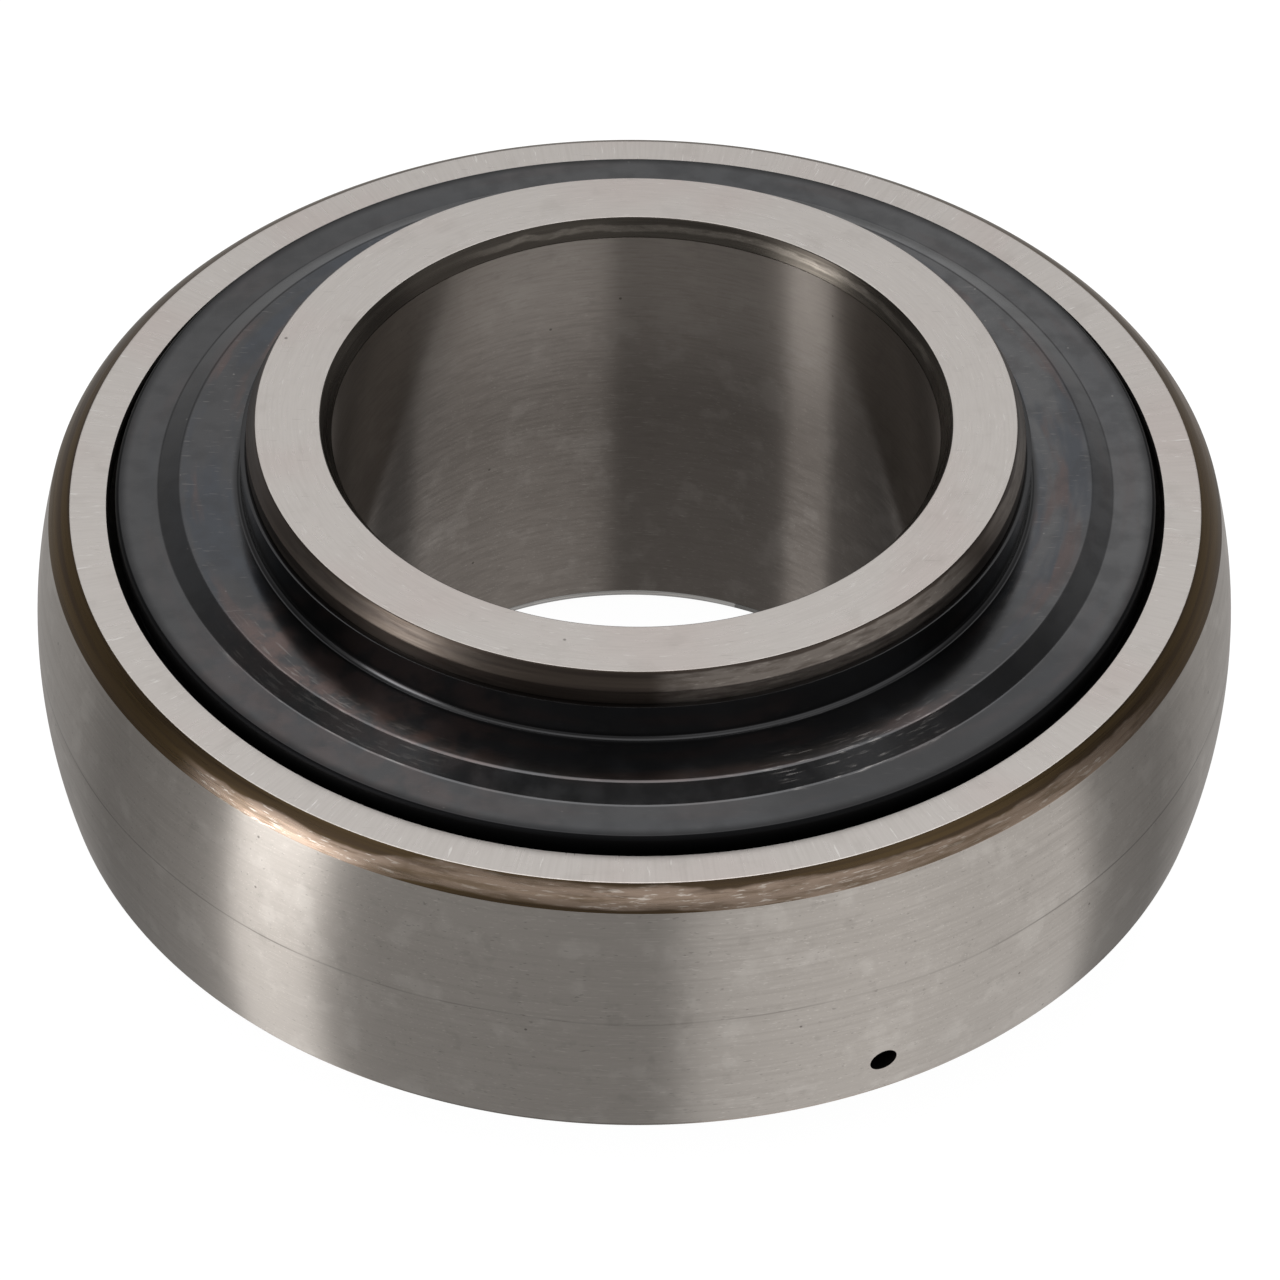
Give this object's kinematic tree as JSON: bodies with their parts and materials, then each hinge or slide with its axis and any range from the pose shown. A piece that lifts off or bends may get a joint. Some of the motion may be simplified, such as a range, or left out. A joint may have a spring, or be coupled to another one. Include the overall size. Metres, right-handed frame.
{
  "type": "ball bearing insert",
  "caption": "Sealed ball bearing insert with a spherical outside, a wide inner ring with a plain bore, and a pressed flinger over the seal on each side.",
  "frame": {"origin": "centre of the bearing, on the bore axis and in the plane of the balls", "axes": "+Z along the bore axis towards the upper side; the relubrication hole is in the lower half, 24.3 degrees from -Y towards +X"},
  "size_m": [0.12, 0.12, 0.0516],
  "materials": {
    "ring_steel": "ground bearing steel, satin",
    "black_oxide_steel": "pressed sheet steel, black oxide with temper tints",
    "seal_sheet_steel": "pressed sheet steel",
    "nitrile_rubber": "moulded rubber",
    "cage_steel": "pressed steel strip",
    "rivet_steel": "plain steel",
    "ball_steel": "polished"
  },
  "bodies": {
    "outer_ring": {"outer_ring": "ring_steel", "seal_insert_upper": "seal_sheet_steel", "seal_insert_lower": "seal_sheet_steel", "seal_rubber_upper": "nitrile_rubber", "seal_rubber_lower": "nitrile_rubber"},
    "inner_ring": {"inner_ring": "ring_steel", "flinger_upper": "black_oxide_steel", "flinger_lower": "black_oxide_steel"},
    "cage": {"cage_half_upper": "cage_steel", "cage_half_lower": "cage_steel", "cage_rivets": "rivet_steel"},
    "ball_01": {"ball_01": "ball_steel"},
    "ball_02": {"ball_02": "ball_steel"},
    "ball_03": {"ball_03": "ball_steel"},
    "ball_04": {"ball_04": "ball_steel"},
    "ball_05": {"ball_05": "ball_steel"},
    "ball_06": {"ball_06": "ball_steel"},
    "ball_07": {"ball_07": "ball_steel"},
    "ball_08": {"ball_08": "ball_steel"},
    "ball_09": {"ball_09": "ball_steel"},
    "ball_10": {"ball_10": "ball_steel"}
  },
  "joints": [
    {"name": "inner_spin", "type": "hinge", "parent": "outer_ring", "child": "inner_ring", "pos_m": [0, 0, 0], "axis": [0, 0, 1], "continuous": true},
    {"name": "cage_spin", "type": "hinge", "parent": "outer_ring", "child": "cage", "pos_m": [0, 0, 0], "axis": [0, 0, 1], "continuous": true},
    {"name": "ball_01_spin", "type": "hinge", "parent": "cage", "child": "ball_01", "pos_m": [0.044, 0, 0], "axis": [0, 0, 1], "continuous": true},
    {"name": "ball_02_spin", "type": "hinge", "parent": "cage", "child": "ball_02", "pos_m": [0.0356, 0.02586, 0], "axis": [0, 0, 1], "continuous": true},
    {"name": "ball_03_spin", "type": "hinge", "parent": "cage", "child": "ball_03", "pos_m": [0.0136, 0.04185, 0], "axis": [0, 0, 1], "continuous": true},
    {"name": "ball_04_spin", "type": "hinge", "parent": "cage", "child": "ball_04", "pos_m": [-0.0136, 0.04185, 0], "axis": [0, 0, 1], "continuous": true},
    {"name": "ball_05_spin", "type": "hinge", "parent": "cage", "child": "ball_05", "pos_m": [-0.0356, 0.02586, 0], "axis": [0, 0, 1], "continuous": true},
    {"name": "ball_06_spin", "type": "hinge", "parent": "cage", "child": "ball_06", "pos_m": [-0.044, 0, 0], "axis": [0, 0, 1], "continuous": true},
    {"name": "ball_07_spin", "type": "hinge", "parent": "cage", "child": "ball_07", "pos_m": [-0.0356, -0.02586, 0], "axis": [0, 0, 1], "continuous": true},
    {"name": "ball_08_spin", "type": "hinge", "parent": "cage", "child": "ball_08", "pos_m": [-0.0136, -0.04185, 0], "axis": [0, 0, 1], "continuous": true},
    {"name": "ball_09_spin", "type": "hinge", "parent": "cage", "child": "ball_09", "pos_m": [0.0136, -0.04185, 0], "axis": [0, 0, 1], "continuous": true},
    {"name": "ball_10_spin", "type": "hinge", "parent": "cage", "child": "ball_10", "pos_m": [0.0356, -0.02586, 0], "axis": [0, 0, 1], "continuous": true}
  ],
  "couplings": [
    {"joint": "cage_spin", "follows": "inner_spin", "ratio": 0.40529},
    {"joint": "ball_01_spin", "follows": "inner_spin", "ratio": -2.5449},
    {"joint": "ball_02_spin", "follows": "inner_spin", "ratio": -2.5449},
    {"joint": "ball_03_spin", "follows": "inner_spin", "ratio": -2.5449},
    {"joint": "ball_04_spin", "follows": "inner_spin", "ratio": -2.5449},
    {"joint": "ball_05_spin", "follows": "inner_spin", "ratio": -2.5449},
    {"joint": "ball_06_spin", "follows": "inner_spin", "ratio": -2.5449},
    {"joint": "ball_07_spin", "follows": "inner_spin", "ratio": -2.5449},
    {"joint": "ball_08_spin", "follows": "inner_spin", "ratio": -2.5449},
    {"joint": "ball_09_spin", "follows": "inner_spin", "ratio": -2.5449},
    {"joint": "ball_10_spin", "follows": "inner_spin", "ratio": -2.5449}
  ]
}
